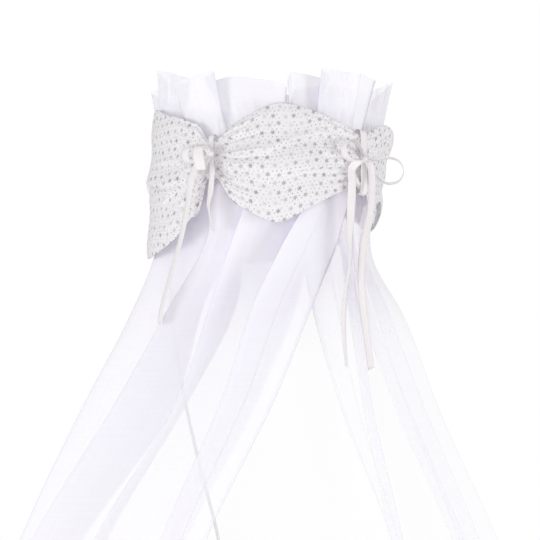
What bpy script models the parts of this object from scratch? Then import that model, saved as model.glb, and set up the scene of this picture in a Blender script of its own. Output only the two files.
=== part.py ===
"""A bed canopy: a sheer drape gathered on a hoop, with a wide band tied round its top by ribbon bows.

Metres, +Z up. The front faces -Y, and the origin is the middle of the pole's foot.
Places round the hoop are turns in degrees, seen from above: 0 is the front, 90 the right-hand end,
180 the back and 270 the left-hand end. The drape starts at the right panel's hem, runs round the back
and ends past a whole turn, because its left panel overlaps the right one at the front.
"""

import math

import bpy
import numpy as np

MM = 0.001

# Rods
ROD_DIAMETER = 0.006
HOOP_HEIGHT = 1.45
HOOP_MIDDLE_Y = -0.10
HOOP_HALF_WIDTH = 0.200
HOOP_HALF_DEPTH = 0.145
HOOP_POINTS = 40
POLE_POINTS = 26
ROD_GAP = 0.0004

# Cloth
VOILE_THICKNESS = 0.0015
BAND_THICKNESS = 0.0015
RIBBON_THICKNESS = 0.0012
DRAPE_LENGTH = 1.38
HEM_FLARE = 0.29
HEM_SLOPE = 0.42

# The pole's middle line from its foot to the hoop's left-hand end, in mm
POLE_ROUTE = (
    # x, y, z
    (0, 0, 0),
    (0, 0, 60),
    (-12, 0, 210),
    (-44, 0, 450),
    (-97, 0, 740),
    (-137, 0, 895),
    (-166, -6, 1020),
    (-188, -28, 1160),
    (-199, -66, 1310),
    (-200, -96, 1400),
)

# How far outside the hoop's middle line the gathered drape lies, by its turn
GATHER_OUT = (
    # turn, mm out
    (8, 8),
    (51, 8),
    (90, 10),
    (325, 12),
    (360, 18),
    (395, 17),
    (411, 13.5),
)

# Plan of the skirt at four drops below the hoop
LEVELS = (
    # drop, middle x, half width, half depth
    (0.170, -0.012, 0.212, 0.158),
    (0.272, -0.005, 0.2595, 0.172),
    (0.460, -0.017, 0.341, 0.200),
    (0.714, -0.019, 0.452, 0.230),
)

# Fold lines of the front panels, from the right panel's hem round to its side: x at the four drops,
# how far the line stands in front of the plain skirt at the second drop and at the fourth, and half the
# depth of the fold's bend, below 0 where the cloth comes in from the front, in mm
RIGHT_FOLDS = (
    # name, turn, x1, x2, x3, x4, out high, out low, bend
    ("right hem", 8, 57, 75, 122, 213, -30, 45, 0),
    ("strip edge", 26, 146, 164, 185, 237, -10, 0, -4),
    ("strip under", 31, 134, 146, 170, 215, -34, -28, -4),
    ("gap under", 46, 163, 187, 255, 357, -22, -22, 4),
    ("gap edge", 51, 157, 168, 225, 329, -2, 12, 4),
    ("outer edge", 61, 178, 217, 284, 383, 0, 4, -4),
    ("outer under", 67, 170, 195, 253, 348, -27, -46, -4),
)
LEFT_FOLDS = (
    ("left under", 306, -85, -123, -176, -348, -38, -72, 4),
    ("first edge", 326, -122, -180, -282, -437, 6, 14, 4),
    ("middle under", 351, -50, -60, -148, -294, -10, -14, 4),
    ("second edge", 357, -72, -104, -165, -312, 14, 20, 4),
    ("front under", 382, 70, 50, -22, -150, -12, -14, 4),
    ("third edge", 393, 26, -22, -83, -190, 30, 32, 4),
    ("left hem", 411, 123, 84, 11, -111, 16, 18, 0),
)
FOLD_TURN = 0.6
# How much of the out high and out low columns applies at each drop
OUT_SHARES = ((0.75, 0.0), (1.0, 0.0), (0.5, 0.5), (0.0, 1.0))
RIGHT_SIDE = 85
LEFT_SIDE = 261
LEFT_CORNER = 278
# Waves of the back, from its right side to its left: how far each stands out at the lowest drop, in mm
BACK_WAVES = (-16, 14, -24, 20, -14, 26, -20, 12, -26, 18, -14, 22, -12)

# Top edge of the frill above the hoop, in mm
FRILL_TOP = (
    # turn, x, y, rise
    (8, 44, -222, 138),
    (20, 85, -214, 146),
    (36, 139, -198, 150),
    (50, 178, -168, 150),
    (64, 200, -140, 160),
    (78, 240, -122, 181),
    (88, 216, -84, 170),
)
FRILL_TOP_LEFT = (
    (262, -234, -92, 170),
    (272, -198, -116, 176),
    (281, -217, -160, 193),
    (306, -152, -178, 170),
    (318, -183, -228, 147),
    (338, -106, -268, 161),
    (344, -124, -230, 154),
    (354, -62, -250, 156),
    (364.5, 29, -262, 136),
    (367.2, 30, -232, 126),
    (369.4, 36, -232, 126),
    (372, 37, -262, 159),
    (376, 112, -224, 157),
    (377.2, 114, -232, 159),
    (381.4, 99, -256, 168),
    (382.6, 98, -264, 168),
    (395, 146, -238, 168),
    (403, 172, -240, 164),
    (411, 203, -206, 160),
)
FRILL_BACK_WAVES = (10, 27, 8, 24, 12, 28, 9, 25, 11, 26, 8)
FRILL_BACK_RISE = 158
FRILL_LEAN = 1.3

# The band's edges above and below the hoop, and how far out it stands at its top, middle and bottom, in mm
TIE_TURNS = (-27, 47, 145, 239)
BAND_OUTLINE = (
    # turn, rise, drop, top out, middle out, bottom out
    (-27, 31, 46, 33, 33, 33),
    (-20, 52, 84, 32, 38, 36),
    (-9, 76, 113, 32, 42, 39),
    (3, 96, 133, 32, 44, 41),
    (18, 87, 103, 33, 43, 41),
    (31, 70, 74, 34, 38, 37),
    (40, 59, 62, 34, 35, 35),
    (47, 50, 58, 34, 34, 34),
    (50.5, 60, 104, 35, 31, 30),
    (55, 68, 115, 36, 28, 26),
    (60, 75, 111, 37, 25, 23),
    (66, 81, 82, 38, 22, 18),
    (76, 82, 62, 40, 19, 16),
    (98, 72, 76, 41, 24, 17),
    (120, 76, 96, 36, 33, 24),
    (145, 46, 54, 33, 33, 33),
    (165, 86, 116, 33, 40, 36),
    (192, 101, 140, 33, 42, 38),
    (220, 86, 124, 33, 40, 36),
    (239, 44, 52, 33, 33, 33),
    (251, 84, 126, 32, 36, 36),
    (268, 112, 162, 28, 34, 36),
    (285, 119, 173, 26, 33, 35),
    (300, 99, 166, 29, 36, 36),
    (312, 84, 150, 35, 38, 36),
    (323, 68, 118, 37, 38, 35),
    (329.5, 55, 99, 35, 35, 34),
    (333, 31, 46, 33, 33, 33),
)
BAND_STATIONS = (0, 0.025, 0.05, 0.12, 0.20, 0.30, 0.40, 0.50, 0.60, 0.70, 0.80, 0.88, 0.95, 0.975)
BAND_ROWS = 10
PLEATS = 2.5
PLEAT_DEPTH = 0.0045
CREASE_DEPTH = 0.0018
PLEAT_REACH = 9.0
# Turns each side of a tie over which the band's edges stay level under the strap, then ease back
TIE_FLAT = 3.0
TIE_EASE = 17.0

# Ribbon bows
KNOT_OUT = 0.045
KNOT_SIZE = (0.0075, 0.0085, 0.0060)
STRAP_OUT = (-0.0195, -0.0035)
STRAP_CLEAR = 0.007
# Each ribbon's middle line from the knot's middle, in mm: to the right, up and forwards, then the swing
# of its width in degrees, 0 from side to side and 90 from back to front, and its width
LEFT_BOW = (
    (
        "curled loop",
        (
            (0, 3, 0, 90, 9),
            (-12, 13, 6, 78, 14),
            (-30, 14, 9, 62, 20),
            (-44, 8, 10, 50, 20),
            (-47, -5, 9, 46, 20),
            (-40, -17, 7, 60, 20),
            (-22, -17, 3, 78, 16),
            (0, -4, 0, 90, 9),
        ),
    ),
    (
        "hanging loop",
        (
            (-1, 1, 3, 0, 9),
            (-10, 9, 17, 0, 14),
            (-20, 7, 27, 0, 18),
            (-21, -9, 31, 0, 20),
            (-18, -26, 30, 0, 20),
            (-16, -36, 25, 0, 18),
            (-13, -27, 17, 0, 14),
            (-1, -5, 3, 0, 9),
        ),
    ),
    (
        "left tail",
        (
            (0, 0, 0, 10, 9),
            (-16, -13, 12, 20, 14),
            (-28, -30, 12, 42, 18),
            (-35, -50, 10, 44, 19),
            (-38, -71, 8, 52, 19),
            (-41, -97, 6, 56, 19),
            (-46, -124, 4, 57, 19),
            (-54, -162, -1, 58, 19),
            (-66, -207, -6, 60, 19),
            (-87, -282, -18, 61, 19),
            (-92, -316, -23, 62, 19),
        ),
    ),
    (
        "right tail",
        (
            (0, -1, 1, 30, 9),
            (2, -18, 5, 50, 15),
            (3, -34, 5, 56, 19),
            (2, -55, 5, 56, 19),
            (0, -78, 5, 57, 19),
            (-3, -96, 5, 66, 18),
            (-2, -110, 5, 78, 18),
            (1, -128, 5, 80, 18),
            (6, -148, 5, 84, 18),
        ),
    ),
)
RIGHT_BOW = (
    (
        "left loop",
        (
            (0, 2, 1, 90, 9),
            (-9, 16, 15, 78, 14),
            (-22, 29, 29, 64, 20),
            (-37, 25, 39, 60, 20),
            (-43, 9, 42, 58, 20),
            (-36, -7, 38, 62, 20),
            (-21, -10, 22, 74, 16),
            (0, -4, 1, 90, 9),
        ),
    ),
    (
        "right loop",
        (
            (0, 1, 0, 92, 9),
            (20, -3, 6, 94, 15),
            (33, -1, 8, 94, 20),
            (47, 0, 8, 94, 20),
            (63, -7, 8, 94, 20),
            (71, -25, 8, 94, 20),
            (63, -42, 8, 94, 20),
            (47, -48, 8, 94, 20),
            (35, -45, 7, 94, 20),
            (20, -32, 5, 93, 17),
            (2, -4, 0, 92, 9),
        ),
    ),
    (
        "left tail",
        (
            (0, 0, 0, 0, 9),
            (-14, -9, 17, -24, 14),
            (-26, -24, 22, -34, 18),
            (-26, -50, 26, -36, 19),
            (-27, -79, 25, -34, 19),
            (-29, -115, 24, -40, 19),
            (-31, -151, 28, -54, 19),
            (-30, -194, 36, -72, 19),
            (-34, -228, 43, -75, 19),
            (-40, -262, 50, -69, 19),
            (-45, -322, 61, -62, 19),
            (-41, -403, 70, -74, 19),
        ),
    ),
    (
        "right tail",
        (
            (0, -1, 0, 20, 9),
            (8, -12, 7, 36, 14),
            (11, -28, 8, 50, 19),
            (11, -65, 10, 50, 19),
            (8, -99, 13, 46, 19),
            (3, -126, 17, 39, 19),
            (-4, -158, 26, 36, 19),
            (-9, -194, 34, 41, 19),
            (-12, -240, 46, 48, 19),
            (-9, -296, 56, 51, 19),
            (-4, -342, 63, 54, 19),
            (3, -407, 68, 58, 19),
        ),
    ),
)
PLAIN_BOW = (
    (
        "left loop",
        (
            (0, 2, 0, 90, 9),
            (-12, 13, 7, 86, 15),
            (-28, 15, 10, 80, 20),
            (-37, 0, 10, 78, 20),
            (-28, -15, 8, 80, 20),
            (-12, -12, 6, 86, 15),
            (0, -4, 0, 90, 9),
        ),
    ),
    (
        "right loop",
        (
            (0, 1, 0, 92, 9),
            (12, 11, 7, 94, 15),
            (28, 12, 10, 100, 20),
            (36, -4, 10, 102, 20),
            (27, -19, 8, 100, 20),
            (11, -14, 6, 94, 15),
            (0, -3, 0, 88, 9),
        ),
    ),
    (
        "left tail",
        (
            (0, 0, 0, 0, 9),
            (-12, -20, 9, 20, 16),
            (-17, -50, 11, 20, 20),
            (-19, -82, 13, 24, 20),
            (-20, -115, 16, 20, 20),
        ),
    ),
    (
        "right tail",
        (
            (0, -1, 1, 0, 9),
            (11, -22, 9, -20, 16),
            (15, -50, 11, -20, 20),
            (17, -76, 13, -24, 20),
            (18, -102, 16, -20, 20),
        ),
    ),
)
# name, tie turn, knot height above the hoop in mm, strap width in mm, faces the viewer, its ribbons
BOWS = (
    ("tie_front_left", -27, 0, 10, True, LEFT_BOW),
    ("tie_front_right", 47, 0, 19, True, RIGHT_BOW),
    ("tie_back_right", 145, 0, 17, False, PLAIN_BOW),
    ("tie_back_left", 239, 0, 17, False, PLAIN_BOW),
)
RIBBON_STEPS = 2
FRONT_STEP = 5.0
BACK_STEP = 6.0
CLOSE_TURN = 0.7
FRILL_ROWS = (1.0, 0.82, 0.60, 0.35, 0.15)
SKIRT_DROPS = (0, 0.05, 0.08, 0.11, 0.14, 0.17, 0.215, 0.272, 0.36, 0.46, 0.58, 0.714, 0.88, 1.10, 1.38)


def clear_scene():
    for old in list(bpy.data.objects):
        bpy.data.objects.remove(old)


def finish(name, rough, metal, colour):
    material = bpy.data.materials.new(name)
    material.use_nodes = True
    shader = material.node_tree.nodes["Principled BSDF"]
    shader.inputs["Base Color"].default_value = (*colour, 1)
    shader.inputs["Roughness"].default_value = rough
    shader.inputs["Metallic"].default_value = metal
    return material


def smooth_through(knots, values, at):
    """Values at the places `at` on a smooth curve through `values`, which stand at `knots`."""
    knots = np.asarray(knots, float)
    values = np.asarray(values, float)
    at = np.asarray(at, float)
    steps = np.diff(knots)[:, None]
    slopes = np.diff(values, axis=0) / steps
    tangents = np.vstack([slopes[:1], slopes[:1], slopes[1:]])
    tangents[1:-1] = (slopes[:-1] * steps[1:] + slopes[1:] * steps[:-1]) / (steps[:-1] + steps[1:])
    cell = np.clip(np.searchsorted(knots, at, side="right") - 1, 0, len(knots) - 2)
    t = ((at - knots[cell]) / (knots[cell + 1] - knots[cell]))[:, None]
    start = values[cell] * (1 + 2 * t) * (1 - t) ** 2
    end = values[cell + 1] * t * t * (3 - 2 * t)
    leave = tangents[cell] * steps[cell] * t * (1 - t) ** 2
    arrive = tangents[cell + 1] * steps[cell] * t * t * (t - 1)
    return start + end + leave + arrive


def fold_line(knots, points, at):
    """Like smooth_through, but never swinging past a sharp fold in the plan."""
    knots = np.asarray(knots, float)
    points = np.asarray(points, float)
    chords = np.diff(points, axis=0)
    lengths = np.linalg.norm(chords[:, :2], axis=1)[:, None]
    ways = chords / lengths
    lean = np.vstack([ways[:1], ways[:-1] + ways[1:], ways[-1:]])
    lean /= np.maximum(np.linalg.norm(lean, axis=1), 0.2)[:, None]
    reach = np.vstack([lengths[:1], np.minimum(lengths[:-1], lengths[1:]), lengths[-1:]])
    tangents = lean * reach
    cell = np.clip(np.searchsorted(knots, at, side="right") - 1, 0, len(knots) - 2)
    t = ((at - knots[cell]) / (knots[cell + 1] - knots[cell]))[:, None]
    ends = points[cell] * (1 + 2 * t) * (1 - t) ** 2 + points[cell + 1] * t * t * (3 - 2 * t)
    return ends + tangents[cell] * t * (1 - t) ** 2 + tangents[cell + 1] * t * t * (t - 1)


def hoop_place(turns, out):
    """Plan points at these turns, this far outside the hoop's middle line."""
    angle = np.radians(turns)
    x = (HOOP_HALF_WIDTH + out) * np.sin(angle)
    y = HOOP_MIDDLE_Y - (HOOP_HALF_DEPTH + out) * np.cos(angle)
    return np.stack([x, y], axis=-1)


def gathered_line(turns):
    table = np.array(GATHER_OUT, float)
    return hoop_place(turns, np.interp(turns, table[:, 0], table[:, 1]) * MM)


def skirt_line(level, turns):
    """Plan points of the skirt at one of its four drops."""
    _, middle_x, half_width, half_depth = LEVELS[level]
    high, low = OUT_SHARES[level]
    knots, points = [], []

    def front_fold(row):
        x = row[2 + level] * MM
        away = (x - middle_x) / half_width
        plain_y = HOOP_MIDDLE_Y - half_depth * math.sqrt(max(0.0, 1 - away * away))
        y = plain_y - (row[6] * high + row[7] * low) * MM
        if row[8] == 0:
            knots.append(row[1])
            points.append((x, y))
            return
        for side in (-1, 1):
            knots.append(row[1] + side * FOLD_TURN)
            points.append((x, y - side * row[8] * MM))

    def on_plain(turn, angle, out):
        x = middle_x + (half_width + out) * math.sin(angle)
        knots.append(turn)
        points.append((x, HOOP_MIDDLE_Y - (half_depth + out) * math.cos(angle)))

    for row in RIGHT_FOLDS:
        front_fold(row)
    on_plain(RIGHT_SIDE, math.radians(90), 0)
    wave_share = (level + 1) / len(LEVELS)
    for i, wave in enumerate(BACK_WAVES):
        share = (i + 1) / (len(BACK_WAVES) + 1)
        turn = RIGHT_SIDE + (LEFT_SIDE - RIGHT_SIDE) * share
        on_plain(turn, math.radians(90 + 180 * share), wave * wave_share * MM)
    on_plain(LEFT_SIDE, math.radians(270), 0)
    on_plain(LEFT_CORNER, math.radians(LEFT_CORNER), 0)
    for row in LEFT_FOLDS:
        front_fold(row)
    return fold_line(knots, points, turns)


def frill_top_line(turns):
    """Places of the frill's top edge."""
    rows = [(turn, x * MM, y * MM, rise * MM) for turn, x, y, rise in FRILL_TOP]
    first, last = FRILL_TOP[-1][0], FRILL_TOP_LEFT[0][0]
    for i, wave in enumerate(FRILL_BACK_WAVES):
        turn = first + (last - first) * (i + 1) / (len(FRILL_BACK_WAVES) + 1)
        x, y = hoop_place(turn, wave * MM)
        rows.append((turn, x, y, (FRILL_BACK_RISE + wave / 2) * MM))
    rows += [(turn, x * MM, y * MM, rise * MM) for turn, x, y, rise in FRILL_TOP_LEFT]
    table = np.array(rows)
    return fold_line(table[:, 0], table[:, 1:], turns)


def drape_grid(turns, frill_rows, drops):
    """Points of the drape's middle surface: rows from the frill's top to the hem, columns by turn."""
    gathered = gathered_line(turns)
    frill = frill_top_line(turns)
    rows = []
    for share in frill_rows:
        plan = gathered + (frill[:, :2] - gathered) * share**FRILL_LEAN
        rows.append(np.column_stack([plan, HOOP_HEIGHT + frill[:, 2] * share]))
    levels = [gathered] + [skirt_line(i, turns) for i in range(len(LEVELS))]
    knots = [0] + [level[0] for level in LEVELS]
    flat = []
    for plan, drop in zip(levels, knots):
        flat.append(np.column_stack([plan, np.full(len(turns), HOOP_HEIGHT - drop)]))
    slope = (levels[-1] - levels[-2]) / (knots[-1] - knots[-2])
    run = levels[-1] + np.clip(slope, -HEM_SLOPE, HEM_SLOPE) * HEM_FLARE
    spread = np.linalg.norm(run - gathered, axis=1)
    hem_z = HOOP_HEIGHT - np.sqrt(DRAPE_LENGTH**2 - spread**2)
    flat.append(np.column_stack([run, hem_z]))
    knots.append(DRAPE_LENGTH)
    stacked = np.array(flat).reshape(len(flat), -1)
    skirt = smooth_through(knots, stacked, drops).reshape(len(drops), len(turns), 3)
    return np.concatenate([np.array(rows), skirt])


def drape_turns():
    """Every fold line's turn, with more between them where they stand far apart."""
    named = {RIGHT_SIDE, RIGHT_FOLDS[0][1], LEFT_FOLDS[-1][1]}
    for row in RIGHT_FOLDS[1:] + LEFT_FOLDS[:-1]:
        named |= {row[1] - FOLD_TURN, row[1] + FOLD_TURN}
    named |= {row[0] for row in FRILL_TOP + FRILL_TOP_LEFT}
    marks = [mark for mark in sorted(named) if not any(0 < other - mark < CLOSE_TURN for other in named)]
    turns = [marks[0]]
    for start, end in zip(marks, marks[1:]):
        step = BACK_STEP if start >= FRILL_TOP[-1][0] and end <= FRILL_TOP_LEFT[0][0] else FRONT_STEP
        count = max(1, math.ceil((end - start) / step))
        turns += [start + (end - start) * (i + 1) / count for i in range(count)]
    return np.array(turns)


def sheet_object(name, grid, thickness, material, closed_round=False):
    """A sheet of cloth from a grid of its middle surface, given its thickness both ways."""
    rows, columns = grid.shape[:2]
    around = columns if closed_round else columns - 1
    faces = []
    for i in range(rows - 1):
        for j in range(around):
            k = (j + 1) % columns
            here, below = i * columns, (i + 1) * columns
            faces += [(here + j, below + j, below + k), (here + j, below + k, here + k)]
    mesh = bpy.data.meshes.new(name)
    mesh.from_pydata(grid.reshape(-1, 3).tolist(), [], faces)
    mesh.shade_smooth()
    mesh.materials.append(material)
    sheet = bpy.data.objects.new(name, mesh)
    bpy.context.scene.collection.objects.link(sheet)
    solid = sheet.modifiers.new("Thickness", "SOLIDIFY")
    solid.thickness = thickness
    solid.offset = 0
    return sheet


def band_grid(turns, row_count):
    """Points of the band's middle surface, rows from its lower edge up."""
    table = np.array(BAND_OUTLINE, float)
    ties = np.array(TIE_TURNS + (TIE_TURNS[0] + 360,))
    away = turns[:, None] - ties[None, :]
    away = away[np.arange(len(turns)), np.argmin(np.abs(away), axis=1)]
    near = np.abs(away)
    held = np.interp(near, (0, TIE_FLAT, TIE_FLAT + TIE_EASE), (0, TIE_FLAT, 0))
    eased = turns - np.sign(away) * held
    rise, drop, top, middle, bottom = smooth_through(table[:, 0], table[:, 1:] * MM, eased).T
    pinch = np.exp(-((near / PLEAT_REACH) ** 2))
    rows = []
    for i in range(row_count):
        share = i / (row_count - 1)
        across = smooth_through((0, 0.45, 1), np.stack([bottom, middle, top]), [share])[0]
        pleat = np.sin(2 * math.pi * PLEATS * share) * (CREASE_DEPTH + (PLEAT_DEPTH - CREASE_DEPTH) * pinch)
        plan = hoop_place(turns, across + pleat)
        rows.append(np.column_stack([plan, HOOP_HEIGHT - drop + (rise + drop) * share]))
    return np.array(rows)


def band_turns():
    ties = TIE_TURNS + (TIE_TURNS[0] + 360,)
    return np.array([a + (b - a) * s for a, b in zip(ties, ties[1:]) for s in BAND_STATIONS])


def rod_object(name, points, cyclic, material):
    curve = bpy.data.curves.new(name, "CURVE")
    curve.dimensions = "3D"
    curve.bevel_depth = ROD_DIAMETER / 2
    curve.bevel_resolution = 2
    curve.use_fill_caps = True
    spline = curve.splines.new("POLY")
    spline.points.add(len(points) - 1)
    for point, place in zip(spline.points, points):
        point.co = (*place, 1)
    spline.use_cyclic_u = cyclic
    curve.materials.append(material)
    rod = bpy.data.objects.new(name, curve)
    bpy.context.scene.collection.objects.link(rod)
    return rod


def ribbon_mesh(path, sides, widths, closed=False):
    """A flat ribbon along `path`, whose width lies along `sides`."""
    path = np.asarray(path)
    count = len(path)
    if closed:
        along = np.roll(path, -1, axis=0) - np.roll(path, 1, axis=0)
    else:
        along = np.gradient(path, axis=0)
    along /= np.linalg.norm(along, axis=1)[:, None]
    sides = sides - along * np.sum(sides * along, axis=1)[:, None]
    sides /= np.linalg.norm(sides, axis=1)[:, None]
    up = np.cross(sides, along)
    half = sides * np.asarray(widths)[:, None] / 2
    thick = up * RIBBON_THICKNESS / 2
    corners = [path - half - thick, path + half - thick, path + half + thick, path - half + thick]
    corners = np.stack(corners, axis=1)
    faces = []
    for i in range(count if closed else count - 1):
        a, b, c, d = range(4 * i, 4 * i + 4)
        e, f, g, h = range(4 * ((i + 1) % count), 4 * ((i + 1) % count) + 4)
        faces += [(a, b, f), (a, f, e), (b, c, g), (b, g, f), (c, d, g), (d, h, g), (d, a, e), (d, e, h)]
    if not closed:
        last = 4 * (count - 1)
        faces += [(3, 2, 1, 0), (last, last + 1, last + 2, last + 3)]
    mesh = bpy.data.meshes.new("ribbon")
    mesh.from_pydata(corners.reshape(-1, 3).tolist(), [], faces)
    return mesh


def knot_mesh(middle, right, up, out):
    """A rounded knot: rings of points round an egg."""
    across, high, deep = KNOT_SIZE
    rings, sides = 5, 10
    points = [middle - up * high]
    for i in range(1, rings + 1):
        lift = -math.cos(math.pi * i / (rings + 1))
        reach = math.sqrt(1 - lift * lift)
        for j in range(sides):
            angle = 2 * math.pi * j / sides
            flat = right * across * math.cos(angle) + out * deep * math.sin(angle)
            points.append(middle + up * high * lift + flat * reach)
    points.append(middle + up * high)
    faces = []
    top = len(points) - 1
    for j in range(sides):
        k = (j + 1) % sides
        faces.append((0, 1 + j, 1 + k))
        faces.append((top, top - sides + k, top - sides + j))
        for i in range(rings - 1):
            low = 1 + i * sides
            faces.append((low + k, low + j, low + sides + j, low + sides + k))
    mesh = bpy.data.meshes.new("knot")
    mesh.from_pydata([tuple(p) for p in points], [], faces)
    return mesh


def faces_out(mesh):
    """Turns a closed mesh the right way out where its volume comes out negative."""
    volume = 0.0
    for face in mesh.polygons:
        corners = [mesh.vertices[i].co for i in face.vertices]
        for b, c in zip(corners[1:], corners[2:]):
            volume += corners[0].dot(b.cross(c))
    if volume < 0:
        mesh.flip_normals()
    return mesh


def fused(name, meshes, material):
    """One solid made of all these closed meshes."""
    objects = []
    for i, mesh in enumerate(meshes):
        piece = bpy.data.objects.new(f"{name}_{i}", faces_out(mesh))
        bpy.context.scene.collection.objects.link(piece)
        objects.append(piece)
    body = objects[0]
    for piece in objects[1:]:
        join = body.modifiers.new("Join", "BOOLEAN")
        join.operation = "UNION"
        join.object = piece
    bpy.context.view_layer.update()
    graph = bpy.context.evaluated_depsgraph_get()
    mesh = bpy.data.meshes.new_from_object(body.evaluated_get(graph))
    for piece in objects:
        bpy.data.objects.remove(piece)
    mesh.name = name
    mesh.materials.clear()
    mesh.materials.append(material)
    whole = bpy.data.objects.new(name, mesh)
    bpy.context.scene.collection.objects.link(whole)
    return whole


def strap_mesh(turn, width, middle, right, out):
    """The ribbon's turn round the pinched band, in the upright plane through the hoop's axis."""
    table = np.array(BAND_OUTLINE, float)
    rise, drop = smooth_through(table[:, 0], table[:, 1:3] * MM, [turn])[0]
    top = HOOP_HEIGHT + rise + STRAP_CLEAR - middle[2]
    low = HOOP_HEIGHT - drop - STRAP_CLEAR - middle[2]
    back, front = STRAP_OUT
    middle_out = (back + front) / 2
    ring = (
        (front, low * 0.75),
        (front, low * 0.35),
        (front, top * 0.35),
        (front, top * 0.75),
        (front - 0.002, top - 0.002),
        (middle_out, top + 0.001),
        (back + 0.002, top - 0.002),
        (back, top * 0.6),
        (back, low * 0.6),
        (back + 0.002, low + 0.002),
        (middle_out, low - 0.001),
        (front - 0.002, low + 0.002),
    )
    path = [middle + out * o + np.array((0, 0, z)) for o, z in ring]
    sides = np.tile(right, (len(path), 1))
    return ribbon_mesh(path, sides, np.full(len(path), width * MM), closed=True)


def bow_ribbon(rows, middle, right, up, out):
    table = np.array(rows, float)
    steps = (len(rows) - 1) * RIBBON_STEPS
    places = np.linspace(0, len(rows) - 1, steps + 1)
    across, high, forward, swing, width = smooth_through(np.arange(len(rows)), table, places).T
    offsets = np.outer(across, right) + np.outer(high, up) + np.outer(forward, out)
    angle = np.radians(swing)
    sides = np.outer(np.cos(angle), right) + np.outer(np.sin(angle), out)
    return ribbon_mesh(middle + offsets * MM, sides, width * MM)


def bow_object(name, turn, knot_rise, strap_width, faces_viewer, ribbons, material):
    angle = math.radians(turn)
    radial = np.array((math.sin(angle), -math.cos(angle), 0))
    tangent = np.array((math.cos(angle), math.sin(angle), 0))
    up = np.array((0, 0, 1))
    place = hoop_place(turn, KNOT_OUT)
    middle = np.array((place[0], place[1], HOOP_HEIGHT + knot_rise * MM))
    right, out = (np.array((1, 0, 0)), np.array((0, -1, 0))) if faces_viewer else (tangent, radial)
    meshes = [knot_mesh(middle, tangent, up, radial)]
    meshes.append(strap_mesh(turn, strap_width, middle, tangent, radial))
    for _, rows in ribbons:
        meshes.append(bow_ribbon(rows, middle, right, up, out))
    return fused(name, meshes, material)


def main():
    clear_scene()
    voile = finish("white_voile", 0.9, 0, (0.90, 0.90, 0.94))
    cotton = finish("printed_cotton", 0.85, 0, (0.88, 0.88, 0.89))
    satin = finish("off_white_ribbon", 0.6, 0, (0.90, 0.88, 0.87))
    lacquer = finish("white_lacquered_steel", 0.4, 0, (0.78, 0.78, 0.78))

    turns = 360 * np.arange(HOOP_POINTS) / HOOP_POINTS
    hoop = [(*plan, HOOP_HEIGHT) for plan in hoop_place(turns, 0)]
    rod_object("hoop", hoop, True, lacquer)
    top = (-HOOP_HALF_WIDTH, HOOP_MIDDLE_Y, HOOP_HEIGHT - ROD_DIAMETER / 2 - ROD_GAP)
    route = np.vstack([np.array(POLE_ROUTE) * MM, top])
    pole = smooth_through(np.arange(len(route)), route, np.linspace(0, len(route) - 1, POLE_POINTS))
    # The first length is upright, so the foot's flat end is level
    pole[1][:2] = pole[0][:2]
    rod_object("pole", pole, False, lacquer)

    drape = drape_grid(drape_turns(), FRILL_ROWS, SKIRT_DROPS)
    sheet_object("drape", drape, VOILE_THICKNESS, voile)
    sheet_object("band", band_grid(band_turns(), BAND_ROWS), BAND_THICKNESS, cotton, closed_round=True)
    for row in BOWS:
        bow_object(*row, satin)


main()
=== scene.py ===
# %% [markdown]
# # A bed canopy on its hoop
#
# A sheer drape is gathered on an oval hoop and hangs open at the front, over the head of a bed. A wide
# cotton band, printed with small grey stars, hides the gathers, and four ribbons draw it in. The solid
# model of every piece is loaded first, and each visible piece here stands in the same place as its solid.

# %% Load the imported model
import math

import bmesh
import bpy
import numpy as np
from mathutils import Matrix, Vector


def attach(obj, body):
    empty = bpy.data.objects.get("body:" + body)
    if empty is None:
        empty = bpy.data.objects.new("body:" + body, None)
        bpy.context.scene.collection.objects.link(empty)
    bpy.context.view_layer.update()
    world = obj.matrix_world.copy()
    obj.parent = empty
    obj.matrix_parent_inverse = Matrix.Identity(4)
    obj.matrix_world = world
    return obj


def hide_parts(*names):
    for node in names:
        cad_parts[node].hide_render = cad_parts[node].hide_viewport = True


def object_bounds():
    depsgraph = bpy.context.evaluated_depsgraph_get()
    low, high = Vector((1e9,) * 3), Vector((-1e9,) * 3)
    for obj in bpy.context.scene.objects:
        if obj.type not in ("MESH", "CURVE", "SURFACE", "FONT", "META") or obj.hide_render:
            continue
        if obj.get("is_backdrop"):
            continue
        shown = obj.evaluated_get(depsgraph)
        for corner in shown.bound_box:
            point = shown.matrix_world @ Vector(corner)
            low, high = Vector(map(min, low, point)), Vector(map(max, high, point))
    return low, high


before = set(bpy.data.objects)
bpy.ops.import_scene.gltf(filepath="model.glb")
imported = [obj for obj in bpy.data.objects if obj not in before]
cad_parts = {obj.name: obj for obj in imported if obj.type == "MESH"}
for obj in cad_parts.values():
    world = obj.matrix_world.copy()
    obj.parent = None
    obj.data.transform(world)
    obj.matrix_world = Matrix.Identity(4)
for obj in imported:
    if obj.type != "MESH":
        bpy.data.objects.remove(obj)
cad_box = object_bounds()
BODY = "root"
MM = 0.001
print("solids:", ", ".join(sorted(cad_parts)))

# %% [markdown]
# ## Colours and nodes
#
# A colour picked on a screen is sRGB, while Blender's shaders want linear light, so one function turns a
# hex value into linear numbers. Another adds a node with its settings and links, which keeps each
# material readable as a list of steps.

# %% Colour and node helpers


def linear(code):
    """The linear colour of an sRGB hex value."""
    parts = [int(code[i : i + 2], 16) / 255 for i in (0, 2, 4)]
    return [c / 12.92 if c <= 0.04045 else ((c + 0.055) / 1.055) ** 2.4 for c in parts]


def new_finish(name, colour, roughness, **sockets):
    """A material with one Principled shader, and the two things that every finish here goes on from."""
    material = bpy.data.materials.new(name)
    material.use_nodes = True
    tree = material.node_tree
    shader = tree.nodes["Principled BSDF"]
    shader.inputs["Base Color"].default_value = (*linear(colour), 1)
    shader.inputs["Roughness"].default_value = roughness
    for socket, value in sockets.items():
        shader.inputs[socket.replace("_", " ")].default_value = value
    return material, tree, shader


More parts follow.
